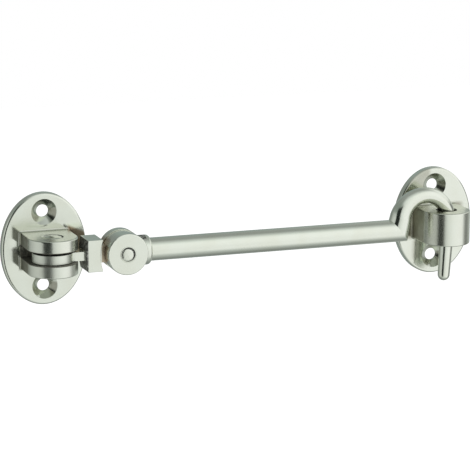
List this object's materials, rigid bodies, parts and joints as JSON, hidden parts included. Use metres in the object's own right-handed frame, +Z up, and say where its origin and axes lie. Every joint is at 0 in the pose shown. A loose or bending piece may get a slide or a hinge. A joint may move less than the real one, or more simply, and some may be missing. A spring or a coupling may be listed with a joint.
{
  "type": "hook latch",
  "caption": "Universal-jointed rod hook on an oval screw plate, with a tapered pin on its arched end that drops into the eye of a matching keep plate.",
  "frame": {"origin": "centre of the base plate's back, which lies on the wall or door", "axes": "+X along the latched rod to the keep plate, +Y into the wall, +Z up"},
  "size_m": [0.1804, 0.0222, 0.0405],
  "materials": {
    "plated_casting": "satin nickel plate on cast brass",
    "plated_bar": "satin nickel plate on drawn and forged brass bar",
    "plated_rivet": "satin nickel plate on hammered rivet ends"
  },
  "bodies": {
    "base": {"base_plate": "plated_casting", "upright_pin": "plated_rivet"},
    "knuckle": {"swivel_knuckle": "plated_casting"},
    "hook": {"fork_head": "plated_casting", "hook_rod": "plated_bar", "cross_pin": "plated_rivet"},
    "keep": {"keep_plate": "plated_casting"}
  },
  "joints": [
    {"name": "hook_swing", "type": "hinge", "parent": "base", "child": "knuckle", "pos_m": [0, -0.0135, 0], "axis": [0, 0, 1], "range_deg": [-195, 15]},
    {"name": "hook_lift", "type": "hinge", "parent": "knuckle", "child": "hook", "pos_m": [0.0255, -0.0135, -0.0004], "axis": [0, -1, 0], "range_deg": [0, 105]},
    {"name": "keep_swivel", "type": "hinge", "parent": "knuckle", "child": "keep", "pos_m": [0.15, -0.0135, 0], "axis": [0, 0, 1], "range_deg": [-90, 20]}
  ]
}
